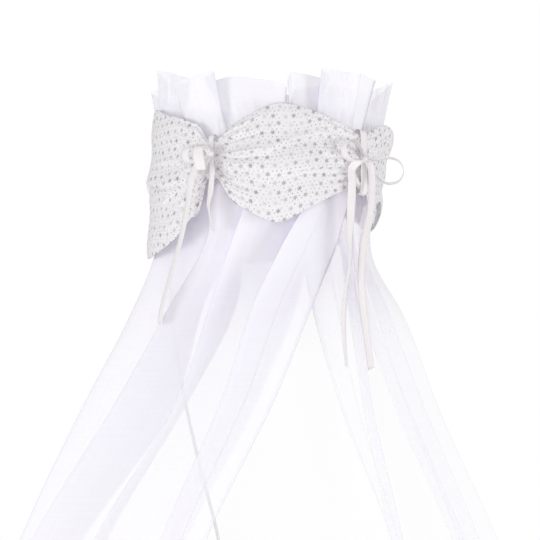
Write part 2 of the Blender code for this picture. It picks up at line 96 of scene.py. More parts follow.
def add_node(tree, kind, links=None, **settings):
    """Adds a node. `links` maps its input's name or number to a socket or a value."""
    node = tree.nodes.new(kind)
    for key, value in settings.items():
        setattr(node, key, value)
    for key, value in (links or {}).items():
        if isinstance(value, bpy.types.NodeSocket):
            tree.links.new(value, node.inputs[key])
        else:
            node.inputs[key].default_value = value
    return node


# %% [markdown]
# ## Lacquered steel
#
# The hoop and the pole are thin steel rod with a white lacquer. Lacquer is smooth and a little glossy, and
# it shows the faint waviness of a dipped coat. Steel under lacquer never shows its metal, so the finish is
# not metallic.

# %% Lacquer
LACQUER_WAVE = 9 * MM

lacquer, tree, shader = new_finish("white lacquered steel", "f0f0ef", 0.35, Coat_Weight=0.2)
place = add_node(tree, "ShaderNodeTexCoord")
waves = add_node(tree, "ShaderNodeTexNoise", {"Vector": place.outputs["Object"], "Scale": 1 / LACQUER_WAVE})
bump = add_node(
    tree, "ShaderNodeBump", {"Height": waves.outputs["Fac"], "Strength": 0.15, "Distance": 0.1 * MM}
)
tree.links.new(bump.outputs["Normal"], shader.inputs["Normal"])
gloss = add_node(
    tree,
    "ShaderNodeMapRange",
    {"Value": waves.outputs["Fac"], "To Min": 0.28, "To Max": 0.45},
)
tree.links.new(gloss.outputs["Result"], shader.inputs["Roughness"])

# %% [markdown]
# ## Voile
#
# Voile is a thin plain weave of hard-twisted threads with open gaps between them, so it is partly see
# through. One layer nearly vanishes on white, and folds show because layers add up. Where the cloth is
# gathered, its finest folds lie several deep, which a grid cannot follow, so each point of the drape
# carries a number of layers, and the opacity comes from that number. Just past two fold edges the number
# is raised further, partly for gathers bunched there and partly as painted shade beside those folds.
# Real threads are 0.25 mm apart, too fine to show, so their uneven thickness, called slubs, is drawn 5 mm
# apart and faint.

# %% Voile
LAYER_COVER = 0.30
SLUB_GAP = 5 * MM
SLUB_LENGTH = 90 * MM

voile, tree, shader = new_finish("white voile", "f8f6fd", 0.9, Specular_IOR_Level=0.1)
place = add_node(tree, "ShaderNodeUVMap", uv_map="cloth")
slubs = []
for stretch in ((1 / SLUB_GAP, 1 / SLUB_LENGTH, 1), (1 / SLUB_LENGTH, 1 / SLUB_GAP, 1)):
    run = add_node(tree, "ShaderNodeMapping", {"Vector": place.outputs["UV"], "Scale": stretch})
    threads = {"Vector": run.outputs["Vector"], "Scale": 1, "Detail": 1}
    slubs.append(add_node(tree, "ShaderNodeTexNoise", threads).outputs["Fac"])
both = add_node(tree, "ShaderNodeMath", {0: slubs[0], 1: slubs[1]}, operation="ADD")
uneven = add_node(
    tree,
    "ShaderNodeMapRange",
    {"Value": both.outputs[0], "From Min": 0.6, "From Max": 1.4, "To Min": 0.96, "To Max": 1.04},
)
# The number of layers also carries painted shade, in its peaks just past two fold edges
layers_and_shade = add_node(tree, "ShaderNodeAttribute", attribute_name="layers_and_shade")
deep = add_node(
    tree, "ShaderNodeMath", {0: layers_and_shade.outputs["Fac"], 1: uneven.outputs["Result"]}, operation="MULTIPLY"
)
left_open = add_node(tree, "ShaderNodeMath", {0: 1 - LAYER_COVER, 1: deep.outputs[0]}, operation="POWER")
cover = add_node(tree, "ShaderNodeMath", {0: 1.0, 1: left_open.outputs[0]}, operation="SUBTRACT")
tree.links.new(cover.outputs[0], shader.inputs["Alpha"])
bump = add_node(tree, "ShaderNodeBump", {"Height": both.outputs[0], "Strength": 0.1, "Distance": 0.2 * MM})
tree.links.new(bump.outputs["Normal"], shader.inputs["Normal"])

# %% [markdown]
# ## Star-printed cotton
#
# The band is a plain cotton weave, printed with small six-pointed stars in two greys and with rows of dots
# between them. The print is laid out on the cloth's own flat coordinates, in metres, so that it follows
# the folds. A cell holds one motif, moved a little by a random number for that cell, and every other row
# is set half a cell along. The stars and the dots are two such layouts of different sizes.

# %% Cotton
STAR_GAP = 20.5 * MM
STAR_TIP = 6.3 * MM
STAR_VALLEY = 2.5 * MM
DOT_GAP = 8.6 * MM
DOT_RADIUS = 1.3 * MM
THREAD = 1.6 * MM
PRINT_EDGE = 0.35 * MM
ROW_SHARE = 0.85
POINT = math.pi / 6

cotton, tree, shader = new_finish("printed cotton", "eeecee", 0.85, Specular_IOR_Level=0.2, Sheen_Weight=0.1)


def sums(operation, a, b=0.0, c=0.0):
    """One step of arithmetic on numbers in the node tree."""
    return add_node(tree, "ShaderNodeMath", {0: a, 1: b, 2: c}, operation=operation).outputs[0]


def soft_edge(inside):
    """1 where the distance to an outline is above 0, with the slight blur of ink on cloth."""
    limits = {"Value": inside, "From Min": -PRINT_EDGE, "From Max": PRINT_EDGE}
    return add_node(tree, "ShaderNodeMapRange", limits).outputs["Result"]


place = add_node(tree, "ShaderNodeUVMap", uv_map="cloth")
apart = add_node(tree, "ShaderNodeSeparateXYZ", {"Vector": place.outputs["UV"]})


def motif(gap, wander):
    """Place inside a cell in metres from the motif's middle, its distance, and two numbers of chance."""
    upward = sums("DIVIDE", apart.outputs["Y"], gap * ROW_SHARE)
    row = sums("FLOOR", upward)
    along = sums("MULTIPLY_ADD", sums("PINGPONG", row, 1.0), 0.5, sums("DIVIDE", apart.outputs["X"], gap))
    column = sums("FLOOR", along)
    cell = add_node(tree, "ShaderNodeCombineXYZ", {"X": column, "Y": row, "Z": gap * 1000})
    chance = add_node(tree, "ShaderNodeTexWhiteNoise", {"Vector": cell.outputs[0]}, noise_dimensions="3D")
    lean = add_node(tree, "ShaderNodeSeparateColor", {"Color": chance.outputs["Color"]})
    x = sums("SUBTRACT", sums("SUBTRACT", along, column), 0.5)
    y = sums("SUBTRACT", sums("SUBTRACT", upward, row), 0.5)
    x = sums("MULTIPLY_ADD", lean.outputs[0], wander, sums("SUBTRACT", x, wander / 2))
    y = sums("MULTIPLY_ADD", lean.outputs[1], wander, sums("SUBTRACT", y, wander / 2))
    x = sums("MULTIPLY", x, gap)
    y = sums("MULTIPLY", y, gap * ROW_SHARE)
    away = sums("SQRT", sums("ADD", sums("MULTIPLY", x, x), sums("MULTIPLY", y, y)))
    return x, y, away, lean.outputs[2], chance.outputs["Value"]


x, y, away, turn, shade = motif(STAR_GAP, 0.3)
angle = sums("ADD", sums("ARCTAN2", y, x), sums("MULTIPLY_ADD", turn, 2 * math.pi, 4 * math.pi))
fold = sums("PINGPONG", angle, POINT)
near_tip = sums("MULTIPLY", sums("SINE", fold), STAR_TIP)
near_valley = sums("MULTIPLY", sums("SINE", sums("SUBTRACT", POINT, fold)), STAR_VALLEY)
outline = sums("DIVIDE", STAR_TIP * STAR_VALLEY * math.sin(POINT), sums("ADD", near_tip, near_valley))
star = sums("MULTIPLY", soft_edge(sums("SUBTRACT", outline, away)), sums("MULTIPLY_ADD", shade, 0.65, 0.25))
clear = soft_edge(sums("SUBTRACT", away, STAR_TIP + 0.6 * MM))
_, _, away, _, shade = motif(DOT_GAP, 0.35)
dot = sums("MULTIPLY", soft_edge(sums("SUBTRACT", DOT_RADIUS, away)), sums("MULTIPLY_ADD", shade, 0.6, 0.3))
ink = sums("MAXIMUM", star, sums("MULTIPLY", dot, clear))
ground = add_node(tree, "ShaderNodeMix", {"Factor": ink}, data_type="RGBA")
ground.inputs[6].default_value = (*linear("eeecee"), 1)
ground.inputs[7].default_value = (*linear("9c9a9e"), 1)
tree.links.new(ground.outputs[2], shader.inputs["Base Color"])
warp = add_node(
    tree, "ShaderNodeMapping", {"Vector": place.outputs["UV"], "Scale": (1 / THREAD, 1 / THREAD, 1)}
)
weave = add_node(tree, "ShaderNodeTexNoise", {"Vector": warp.outputs["Vector"], "Scale": 1, "Detail": 3})
bump = add_node(
    tree, "ShaderNodeBump", {"Height": weave.outputs["Fac"], "Strength": 0.25, "Distance": 0.3 * MM}
)
tree.links.new(bump.outputs["Normal"], shader.inputs["Normal"])

# %% [markdown]
# ## Ribbon
#
# The ties are narrow woven ribbon in a warm off-white, with fine ribs straight across and a firm woven edge
# on both sides. Its own flat coordinates give the ribs. They are drawn 2 mm apart, coarser than the real
# 0.5 mm, so that they show.

# %% Ribbon finish
RIB = 2.0 * MM

ribbon, tree, shader = new_finish(
    "off-white ribbon", "f1eeef", 0.6, Specular_IOR_Level=0.35, Sheen_Weight=0.2
)
place = add_node(tree, "ShaderNodeUVMap", uv_map="cloth")
ribs = add_node(
    tree,
    "ShaderNodeTexWave",
    {"Vector": place.outputs["UV"], "Scale": math.pi / 10 / RIB, "Distortion": 0.4, "Detail": 1},
    wave_type="BANDS",
    bands_direction="X",
)
bump = add_node(
    tree, "ShaderNodeBump", {"Height": ribs.outputs["Fac"], "Strength": 0.3, "Distance": 0.25 * MM}
)
tree.links.new(bump.outputs["Normal"], shader.inputs["Normal"])
shade = add_node(tree, "ShaderNodeMix", {"Factor": ribs.outputs["Fac"]}, data_type="RGBA")
shade.inputs[6].default_value = (*linear("ece8e9"), 1)
shade.inputs[7].default_value = (*linear("f5f2f3"), 1)
tree.links.new(shade.outputs[2], shader.inputs["Base Color"])

# %% [markdown]
# ## Lines through tables
#
# Every shape below is a smooth line through a short table of measured places. One function eases through
# numbers at uneven steps. The other is for folds seen from above, where an ordinary smooth curve
# would swing past the fold's sharp edge.

# %% Curves


def smooth_through(knots, values, at):
    """Values at the places `at` on a smooth curve through `values`, which stand at `knots`."""
    knots = np.asarray(knots, float)
    values = np.asarray(values, float)
    at = np.asarray(at, float)
    steps = np.diff(knots)[:, None]
    slopes = np.diff(values, axis=0) / steps
    tangents = np.vstack([slopes[:1], slopes[:1], slopes[1:]])
    tangents[1:-1] = (slopes[:-1] * steps[1:] + slopes[1:] * steps[:-1]) / (steps[:-1] + steps[1:])
    cell = np.clip(np.searchsorted(knots, at, side="right") - 1, 0, len(knots) - 2)
    t = ((at - knots[cell]) / (knots[cell + 1] - knots[cell]))[:, None]
    start = values[cell] * (1 + 2 * t) * (1 - t) ** 2
    end = values[cell + 1] * t * t * (3 - 2 * t)
    leave = tangents[cell] * steps[cell] * t * (1 - t) ** 2
    arrive = tangents[cell + 1] * steps[cell] * t * t * (t - 1)
    return start + end + leave + arrive


def fold_line(knots, points, at):
    """Like smooth_through, but never swinging past a sharp fold in the plan."""
    knots = np.asarray(knots, float)
    points = np.asarray(points, float)
    chords = np.diff(points, axis=0)
    lengths = np.linalg.norm(chords[:, :2], axis=1)[:, None]
    ways = chords / lengths
    lean = np.vstack([ways[:1], ways[:-1] + ways[1:], ways[-1:]])
    lean /= np.maximum(np.linalg.norm(lean, axis=1), 0.2)[:, None]
    reach = np.vstack([lengths[:1], np.minimum(lengths[:-1], lengths[1:]), lengths[-1:]])
    tangents = lean * reach
    cell = np.clip(np.searchsorted(knots, at, side="right") - 1, 0, len(knots) - 2)
    t = ((at - knots[cell]) / (knots[cell + 1] - knots[cell]))[:, None]
    ends = points[cell] * (1 + 2 * t) * (1 - t) ** 2 + points[cell + 1] * t * t * (3 - 2 * t)
    return ends + tangents[cell] * t * (1 - t) ** 2 + tangents[cell + 1] * t * t * (t - 1)


# %% [markdown]
# ## Hoop and pole
#
# Both are bent rod. A round tube swept along a line suits them: a curve with a bevel does that, and it
# is then turned into a mesh. Places round the hoop are turns in degrees seen from above, with 0 at
# the front and 90 at the right-hand end.

# %% Rod sizes and the pole's route
ROD_DIAMETER = 0.006
HOOP_HEIGHT = 1.45
HOOP_MIDDLE_Y = -0.10
HOOP_HALF_WIDTH = 0.200
HOOP_HALF_DEPTH = 0.145
ROD_GAP = 0.0004
# The pole's middle line from its foot to the hoop's left-hand end, in mm
POLE_ROUTE = (
    # x, y, z
    (0, 0, 0),
    (0, 0, 60),
    (-12, 0, 210),
    (-44, 0, 450),
    (-97, 0, 740),
    (-137, 0, 895),
    (-166, -6, 1020),
    (-188, -28, 1160),
    (-199, -66, 1310),
    (-200, -96, 1400),
)

# %% Rods


def hoop_place(turns, out):
    """Plan points at these turns, this far outside the hoop's middle line."""
    angle = np.radians(turns)
    x = (HOOP_HALF_WIDTH + out) * np.sin(angle)
    y = HOOP_MIDDLE_Y - (HOOP_HALF_DEPTH + out) * np.cos(angle)
    return np.stack([x, y], axis=-1)


def as_piece(obj, name, material, node):
    """Turns an object into a plain mesh in place of its CAD node, riding on the body."""
    graph = bpy.context.evaluated_depsgraph_get()
    mesh = bpy.data.meshes.new_from_object(obj.evaluated_get(graph))
    bpy.data.objects.remove(obj)
    mesh.name = name
    mesh.materials.clear()
    mesh.materials.append(material)
    mesh.shade_smooth()
    piece = bpy.data.objects.new(name, mesh)
    bpy.context.scene.collection.objects.link(piece)
    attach(piece, BODY)
    if node:
        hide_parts(node)
    mesh.calc_loop_triangles()
    print(f"{name}: {len(mesh.loop_triangles)} triangles")
    return piece


def rod(name, points, cyclic):
    curve = bpy.data.curves.new(name, "CURVE")
    curve.dimensions = "3D"
    curve.bevel_depth = ROD_DIAMETER / 2
    curve.bevel_resolution = 6
    curve.use_fill_caps = True
    spline = curve.splines.new("POLY")
    spline.points.add(len(points) - 1)
    for point, spot in zip(spline.points, points):
        point.co = (*spot, 1)
    spline.use_cyclic_u = cyclic
    obj = bpy.data.objects.new(name, curve)
    bpy.context.scene.collection.objects.link(obj)
    return as_piece(obj, f"{name}_rod", lacquer, name)


ring = [(*spot, HOOP_HEIGHT) for spot in hoop_place(np.arange(0, 360, 3), 0)]
rod("hoop", ring, True)
pole_top = (-HOOP_HALF_WIDTH, HOOP_MIDDLE_Y, HOOP_HEIGHT - ROD_DIAMETER / 2 - ROD_GAP)
route = np.vstack([np.array(POLE_ROUTE) * MM, pole_top])
rod("pole", smooth_through(np.arange(len(route)), route, np.linspace(0, len(route) - 1, 110)), False)

# %% [markdown]
# ## The drape
#
# One width of voile is gathered on the hoop. Above it stands a frill, below it hangs the skirt, and its two
# hems make the front opening, with the left panel over the right one. The cloth is built in
# the shape in which it hangs: a grid whose rows run round the canopy and whose columns run down it. A
# simulation would give other folds than the ones seen, so each fold line has a row in a table.

# %% Places of the folds
DRAPE_LENGTH = 1.38
HEM_FLARE = 0.29
HEM_SLOPE = 0.42
# How far outside the hoop's middle line the gathered drape lies, by its turn
GATHER_OUT = (
    # turn, mm out
    (8, 8),
    (51, 8),
    (90, 10),
    (325, 12),
    (360, 18),
    (395, 17),
    (411, 13.5),
)
# Plan of the skirt at four drops below the hoop
LEVELS = (
    # drop, middle x, half width, half depth
    (0.170, -0.012, 0.212, 0.158),
    (0.272, -0.005, 0.2595, 0.172),
    (0.460, -0.017, 0.341, 0.200),
    (0.714, -0.019, 0.452, 0.230),
)
# Fold lines of the front panels, from the right panel's hem round to its side: x at the four drops,
# how far the line stands in front of the plain skirt at the second drop and at the fourth, and half the
# depth of the fold's bend, below 0 where the cloth comes in from the front, in mm
RIGHT_FOLDS = (
    # name, turn, x1, x2, x3, x4, out high, out low, bend
    ("right hem", 8, 57, 75, 122, 213, -30, 45, 0),
    ("strip edge", 26, 146, 164, 185, 237, -10, 0, -4),
    ("strip under", 31, 134, 146, 170, 215, -34, -28, -4),
    ("gap under", 46, 163, 187, 255, 357, -22, -22, 4),
    ("gap edge", 51, 157, 168, 225, 329, -2, 12, 4),
    ("outer edge", 61, 178, 217, 284, 383, 0, 4, -4),
    ("outer under", 67, 170, 195, 253, 348, -27, -46, -4),
)
LEFT_FOLDS = (
    ("left under", 306, -85, -123, -176, -348, -38, -72, 4),
    ("first edge", 326, -122, -180, -282, -437, 6, 14, 4),
    ("middle under", 351, -50, -60, -148, -294, -10, -14, 4),
    ("second edge", 357, -72, -104, -165, -312, 14, 20, 4),
    ("front under", 382, 70, 50, -22, -150, -12, -14, 4),
    ("third edge", 393, 26, -22, -83, -190, 30, 32, 4),
    ("left hem", 411, 123, 84, 11, -111, 16, 18, 0),
)
FOLD_TURN = 0.6
# How much of the out high and out low columns applies at each drop
OUT_SHARES = ((0.75, 0.0), (1.0, 0.0), (0.5, 0.5), (0.0, 1.0))
RIGHT_SIDE = 85
LEFT_SIDE = 261
LEFT_CORNER = 278
# Waves of the back, from its right side to its left: how far each stands out at the lowest drop, in mm
BACK_WAVES = (-16, 14, -24, 20, -14, 26, -20, 12, -26, 18, -14, 22, -12)
# Top edge of the frill above the hoop, in mm
FRILL_TOP = (
    # turn, x, y, rise
    (8, 44, -222, 138),
    (20, 85, -214, 146),
    (36, 139, -198, 150),
    (50, 178, -168, 150),
    (64, 200, -140, 160),
    (78, 240, -122, 181),
    (88, 216, -84, 170),
)
FRILL_TOP_LEFT = (
    (262, -234, -92, 170),
    (272, -198, -116, 176),
    (281, -217, -160, 193),
    (306, -152, -178, 170),
    (318, -183, -228, 147),
    (338, -106, -268, 161),
    (344, -124, -230, 154),
    (354, -62, -250, 156),
    (364.5, 29, -262, 136),
    (367.2, 30, -232, 126),
    (369.4, 36, -232, 126),
    (372, 37, -262, 159),
    (376, 112, -224, 157),
    (377.2, 114, -232, 159),
    (381.4, 99, -256, 168),
    (382.6, 98, -264, 168),
    (395, 146, -238, 168),
    (403, 172, -240, 164),
    (411, 203, -206, 160),
)
FRILL_BACK_WAVES = (10, 27, 8, 24, 12, 28, 9, 25, 11, 26, 8)
FRILL_BACK_RISE = 158
FRILL_LEAN = 1.3

# %% The drape's middle surface


def gathered_line(turns):
    table = np.array(GATHER_OUT, float)
    return hoop_place(turns, np.interp(turns, table[:, 0], table[:, 1]) * MM)


def skirt_line(level, turns):
    """Plan points of the skirt at one of its four drops."""
    _, middle_x, half_width, half_depth = LEVELS[level]
    high, low = OUT_SHARES[level]
    knots, points = [], []

    def front_fold(row):
        x = row[2 + level] * MM
        away = (x - middle_x) / half_width
        plain_y = HOOP_MIDDLE_Y - half_depth * math.sqrt(max(0.0, 1 - away * away))
        y = plain_y - (row[6] * high + row[7] * low) * MM
        if row[8] == 0:
            knots.append(row[1])
            points.append((x, y))
            return
        for side in (-1, 1):
            knots.append(row[1] + side * FOLD_TURN)
            points.append((x, y - side * row[8] * MM))

    def on_plain(turn, angle, out):
        x = middle_x + (half_width + out) * math.sin(angle)
        knots.append(turn)
        points.append((x, HOOP_MIDDLE_Y - (half_depth + out) * math.cos(angle)))

    for row in RIGHT_FOLDS:
        front_fold(row)
    on_plain(RIGHT_SIDE, math.radians(90), 0)
    wave_share = (level + 1) / len(LEVELS)
    for i, wave in enumerate(BACK_WAVES):
        share = (i + 1) / (len(BACK_WAVES) + 1)
        turn = RIGHT_SIDE + (LEFT_SIDE - RIGHT_SIDE) * share
        on_plain(turn, math.radians(90 + 180 * share), wave * wave_share * MM)
    on_plain(LEFT_SIDE, math.radians(270), 0)
    on_plain(LEFT_CORNER, math.radians(LEFT_CORNER), 0)
    for row in LEFT_FOLDS:
        front_fold(row)
    return fold_line(knots, points, turns)


def frill_top_line(turns):
    """Places of the frill's top edge."""
    rows = [(turn, x * MM, y * MM, rise * MM) for turn, x, y, rise in FRILL_TOP]
    first, last = FRILL_TOP[-1][0], FRILL_TOP_LEFT[0][0]
    for i, wave in enumerate(FRILL_BACK_WAVES):
        turn = first + (last - first) * (i + 1) / (len(FRILL_BACK_WAVES) + 1)
        x, y = hoop_place(turn, wave * MM)
        rows.append((turn, x, y, (FRILL_BACK_RISE + wave / 2) * MM))
    rows += [(turn, x * MM, y * MM, rise * MM) for turn, x, y, rise in FRILL_TOP_LEFT]
    table = np.array(rows)
    return fold_line(table[:, 0], table[:, 1:], turns)


def drape_grid(turns, frill_rows, drops):
    """Points of the drape's middle surface: rows from the frill's top to the hem, columns by turn."""
    gathered = gathered_line(turns)
    frill = frill_top_line(turns)
    rows = []
    for share in frill_rows:
        plan = gathered + (frill[:, :2] - gathered) * share**FRILL_LEAN
        rows.append(np.column_stack([plan, HOOP_HEIGHT + frill[:, 2] * share]))
    levels = [gathered] + [skirt_line(i, turns) for i in range(len(LEVELS))]
    knots = [0] + [level[0] for level in LEVELS]
    flat = []
    for plan, drop in zip(levels, knots):
        flat.append(np.column_stack([plan, np.full(len(turns), HOOP_HEIGHT - drop)]))
    slope = (levels[-1] - levels[-2]) / (knots[-1] - knots[-2])
    run = levels[-1] + np.clip(slope, -HEM_SLOPE, HEM_SLOPE) * HEM_FLARE
    spread = np.linalg.norm(run - gathered, axis=1)
    hem_z = HOOP_HEIGHT - np.sqrt(DRAPE_LENGTH**2 - spread**2)
    flat.append(np.column_stack([run, hem_z]))
    knots.append(DRAPE_LENGTH)
    stacked = np.array(flat).reshape(len(flat), -1)
    skirt = smooth_through(knots, stacked, drops).reshape(len(drops), len(turns), 3)
    return np.concatenate([np.array(rows), skirt])

# %% [markdown]
# A fine grid needs rows close together near the gathers and columns close together round each fold's
# bend. Small gathers are then pressed in along the cloth's own normal: they start at the hoop and fade out
# down the skirt, and they open again towards the frill's top.

# %% Fine drape
FRONT_STEP = 0.9
BACK_STEP = 1.5
BEND_STEPS = 6
GATHERS = ((5.3, 0.7, 0.4), (3.1, 2.1, 0.3), (8.9, 4.0, 0.5))
HEM_WIDTH = (0.6, 3, 5, 8)
HEM_LIFT = 0.8
# How many layers of fine gathers lie on each other, by the place round the hoop. The peaks just past the
# second and third fold edges are partly bunched gathers and partly painted shade beside those folds
LAYERS_AND_SHADE_ROUND = (
    # turn, layers
    (8, 0.55),
    (22, 0.42),
    (26, 1.2),
    (31, 0.7),
    (32, 0.16),
    (45, 0.16),
    (46, 0.4),
    (51, 0.55),
    (56, 0.4),
    (61, 0.5),
    (67, 0.35),
    (85, 0.35),
    (100, 0.14),
    (250, 0.14),
    (278, 1.3),
    (306, 1.4),
    (326, 1.6),
    (345, 1.2),
    (356, 1.4),
    (357.6, 2.2),
    # Partly painted shade: a denser peak just past the second edge
    (364, 1.1),
    (382, 0.9),
    (392.4, 1.4),
    # Partly painted shade: a denser peak just past the third edge, fading towards the hem
    (393.6, 2.6),
    (399, 1.7),
    (405, 0.9),
    (411, 1.0),
)
# and how that number changes down the drape, with the frill above the hoop
LAYERS_DOWN = (
    # drop in metres, times the number round the hoop
    (-0.17, 3.4),
    (-0.04, 4.8),
    (0, 6.0),
    (0.19, 6.0),
    (0.25, 3.2),
    (0.34, 1.5),
    (0.6, 1.15),
    (1.38, 0.9),
)
# Above the hoop the number round the hoop evens out, by this power
FRILL_EVENS = 0.45
# Rows of the grid: down the frill, down the gathers as far as their end, and down the rest
FRILL_STEPS = 21
FRILL_HEIGHT = 0.15
UPPER_STEPS = 41
UPPER_END = 0.3
LOWER_ROWS = 70
# The gathers fade over this drop, open by this much for each metre of frill, and the cloth's flat
# coordinates across are measured along this row
GATHER_FADE = 0.22
GATHER_OPENS = 5
GIRTH_ROW = 60
HEM_DEPTH = 30


def fine_turns():
    marks = {RIGHT_SIDE, RIGHT_FOLDS[0][1], LEFT_FOLDS[-1][1]}
    for row in RIGHT_FOLDS[1:] + LEFT_FOLDS[:-1]:
        marks |= {row[1] - FOLD_TURN, row[1] + FOLD_TURN}
    marks |= {row[0] for row in FRILL_TOP + FRILL_TOP_LEFT}
    marks = sorted(marks)
    turns = [marks[0]]
    for start, end in zip(marks, marks[1:]):
        wide = start >= FRILL_TOP[-1][0] and end <= FRILL_TOP_LEFT[0][0]
        least = BEND_STEPS if end - start <= 2 * FOLD_TURN + 0.01 else 1
        count = max(least, math.ceil((end - start) / (BACK_STEP if wide else FRONT_STEP)))
        turns += [start + (end - start) * (i + 1) / count for i in range(count)]
    return np.array(turns)


def grid_normals(grid):
    """Outward unit normals of a grid of points."""
    down = np.gradient(grid, axis=0)
    along = np.gradient(grid, axis=1)
    normals = np.cross(down, along)
    return normals / np.maximum(np.linalg.norm(normals, axis=2), 1e-12)[:, :, None]


def folded_edge(grid, last, out_sign):
    """Columns that turn the cloth's upright edge under, for a hem."""
    edge = grid[:, -1] if last else grid[:, 0]
    inner = grid[:, -4] if last else grid[:, 3]
    back = inner - edge
    back /= np.linalg.norm(back, axis=1)[:, None]
    normal = grid_normals(grid)[:, -2 if last else 1] * out_sign
    turned = [edge + back * reach * MM - normal * HEM_LIFT * MM for reach in HEM_WIDTH]
    return turned if last else turned[::-1]


def sheet_mesh(name, grid, lengths_across, lengths_down, closed_round=False):
    """A mesh of a grid, whose flat coordinates are kept in metres in the UV map named cloth."""
    rows, columns = grid.shape[:2]
    count = columns if closed_round else columns - 1
    i, j = np.meshgrid(np.arange(rows - 1), np.arange(count), indexing="ij")
    k = (j + 1) % columns
    corners = [i * columns + j, (i + 1) * columns + j, (i + 1) * columns + k, i * columns + k]
    faces = np.stack(corners, axis=-1)
    mesh = bpy.data.meshes.new(name)
    mesh.from_pydata(grid.reshape(-1, 3).tolist(), [], faces.reshape(-1, 4).tolist())
    across = np.broadcast_to(lengths_across, (rows, len(lengths_across)))
    down = np.broadcast_to(lengths_down, grid.shape[:2])
    upto = np.stack([j, j, j + 1, j + 1], axis=-1)
    level = np.stack([i, i + 1, i + 1, i], axis=-1)
    flat = np.stack([across[level, upto], down[level, upto % columns]], axis=-1)
    mesh.uv_layers.new(name="cloth").data.foreach_set("uv", flat.ravel())
    return mesh


turns = fine_turns()
frill_rows = np.linspace(1, 0, FRILL_STEPS + 1)[:-1]
upper_drops = np.linspace(0, UPPER_END, UPPER_STEPS + 1)[:-1]
drops = np.concatenate([upper_drops, np.linspace(UPPER_END, DRAPE_LENGTH, LOWER_ROWS)])
drape = drape_grid(turns, frill_rows, drops)
fall = np.concatenate([-frill_rows * FRILL_HEIGHT, drops])
fading = np.exp(-np.maximum(fall, 0) / GATHER_FADE)
depth = np.where(fall < 0, 1.0 + GATHER_OPENS * np.abs(fall), fading)
ripple = sum(size * np.sin(2 * math.pi * turns / wave + phase) for wave, phase, size in GATHERS)
drape = drape + grid_normals(drape) * (ripple[None, :] * depth[:, None] * MM)[:, :, None]
bottom = drape[-1] - grid_normals(drape)[-1] * HEM_LIFT * MM
tucked = drape[-3] - grid_normals(drape)[-3] * HEM_LIFT * MM
drape = np.concatenate([drape, bottom[None], tucked[None]])
fall = np.concatenate([fall, [fall[-1] + 1 * MM, fall[-1] + HEM_DEPTH * MM]])
left = np.stack(folded_edge(drape, True, 1.0), axis=1)
right = np.stack(folded_edge(drape, False, 1.0), axis=1)
drape = np.concatenate([right, drape, left], axis=1)
girth = np.concatenate([[0], np.cumsum(np.linalg.norm(np.diff(drape[GIRTH_ROW], axis=0), axis=1))])
mesh = sheet_mesh("drape_cloth", drape, girth, -fall[:, None])
obj = bpy.data.objects.new("drape_draft", mesh)
bpy.context.scene.collection.objects.link(obj)
turns_round = np.concatenate([[turns[0]] * len(HEM_WIDTH), turns, [turns[-1]] * len(HEM_WIDTH)])
# The number of layers, with its painted shade beside two fold edges, goes to the voile's opacity
by_turn = np.interp(turns_round, *np.array(LAYERS_AND_SHADE_ROUND).T)
by_turn = by_turn[None, :] ** np.where(fall < 0, FRILL_EVENS, 1.0)[:, None]
layers_and_shade = by_turn * np.interp(fall, *np.array(LAYERS_DOWN).T)[:, None]
mesh.attributes.new("layers_and_shade", "FLOAT", "POINT").data.foreach_set("value", layers_and_shade.ravel())
drape_piece = as_piece(obj, "drape_cloth", voile, "drape")
print("drape:", drape.shape, "rows and columns")

# %% [markdown]
# ## The band
#
# A wide strip of printed cotton goes round the top. Where a ribbon draws it in, its height falls by half
# and the spare cloth stands in pleats that run out into the flat part. The band is a grid too, closed
# round the hoop, with a thickness and its edges stitched.

# %% Places of the band
# The band's edges above and below the hoop, and how far out it stands at its top, middle and bottom, in mm
TIE_TURNS = (-27, 47, 145, 239)
BAND_OUTLINE = (
    # turn, rise, drop, top out, middle out, bottom out
    (-27, 31, 46, 33, 33, 33),
    (-20, 52, 84, 32, 38, 36),
    (-9, 76, 113, 32, 42, 39),
    (3, 96, 133, 32, 44, 41),
    (18, 87, 103, 33, 43, 41),
    (31, 70, 74, 34, 38, 37),
    (40, 59, 62, 34, 35, 35),
    (47, 50, 58, 34, 34, 34),
    (50.5, 60, 104, 35, 31, 30),
    (55, 68, 115, 36, 28, 26),
    (60, 75, 111, 37, 25, 23),
    (66, 81, 82, 38, 22, 18),
    (76, 82, 62, 40, 19, 16),
    (98, 72, 76, 41, 24, 17),
    (120, 76, 96, 36, 33, 24),
    (145, 46, 54, 33, 33, 33),
    (165, 86, 116, 33, 40, 36),
    (192, 101, 140, 33, 42, 38),
    (220, 86, 124, 33, 40, 36),
    (239, 44, 52, 33, 33, 33),
    (251, 84, 126, 32, 36, 36),
    (268, 112, 162, 28, 34, 36),
    (285, 119, 173, 26, 33, 35),
    (300, 99, 166, 29, 36, 36),
    (312, 84, 150, 35, 38, 36),
    (323, 68, 118, 37, 38, 35),
    (329.5, 55, 99, 35, 35, 34),
    (333, 31, 46, 33, 33, 33),
)
PLEATS = 2.5
PLEAT_DEPTH = 0.0045
CREASE_DEPTH = 0.0018
PLEAT_REACH = 9.0
# Turns each side of a tie over which the band's edges stay level under the strap, then ease back
TIE_FLAT = 3.0
TIE_EASE = 17.0

# %% Fine band
BAND_COLUMNS = 510
BAND_LINES = 96
COTTON_THICKNESS = 0.9 * MM
FINE_PLEATS = ((4.5, 0.6, 3.6), (7.5, 1.9, 2.2), (11.0, 4.0, 1.0))
